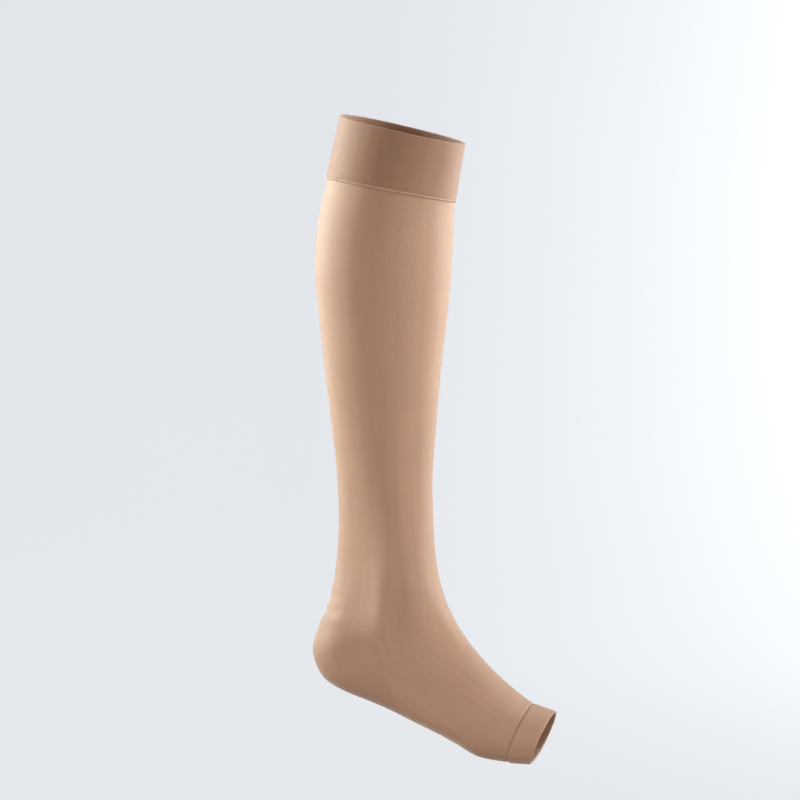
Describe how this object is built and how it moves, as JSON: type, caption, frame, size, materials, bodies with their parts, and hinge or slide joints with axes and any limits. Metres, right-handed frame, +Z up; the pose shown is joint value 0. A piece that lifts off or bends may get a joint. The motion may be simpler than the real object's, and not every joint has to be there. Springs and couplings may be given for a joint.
{
  "type": "compression stocking",
  "caption": "Below-knee, open-toe compression stocking for a right leg, hollow as worn, with a doubled top band, a knitted-in heel pouch and a turned toe band.",
  "frame": {"origin": "middle of the top opening, where the leg holds the stocking up", "axes": "+Z up the leg, +X forwards to the toes, +Y to the wearer's left, which is the inner side of this right stocking"},
  "size_m": [0.1923, 0.1073, 0.51],
  "materials": {
    "band_knit": "sand-coloured doubled welt of fine plain knit, matt, folded at its top edge",
    "leg_knit": "sand-coloured circular knit of covered elastane, smooth, with fine wales and a faint sheen",
    "heel_knit": "sand-coloured pouch knit, a little looser and flatter than the leg",
    "toe_knit": "sand-coloured turned hem of the same knit, matt, stitched down"
  },
  "bodies": {
    "root": {"top_band": "band_knit", "leg_and_foot": "leg_knit", "heel_pouch": "heel_knit", "toe_band": "toe_knit"}
  },
  "joints": []
}
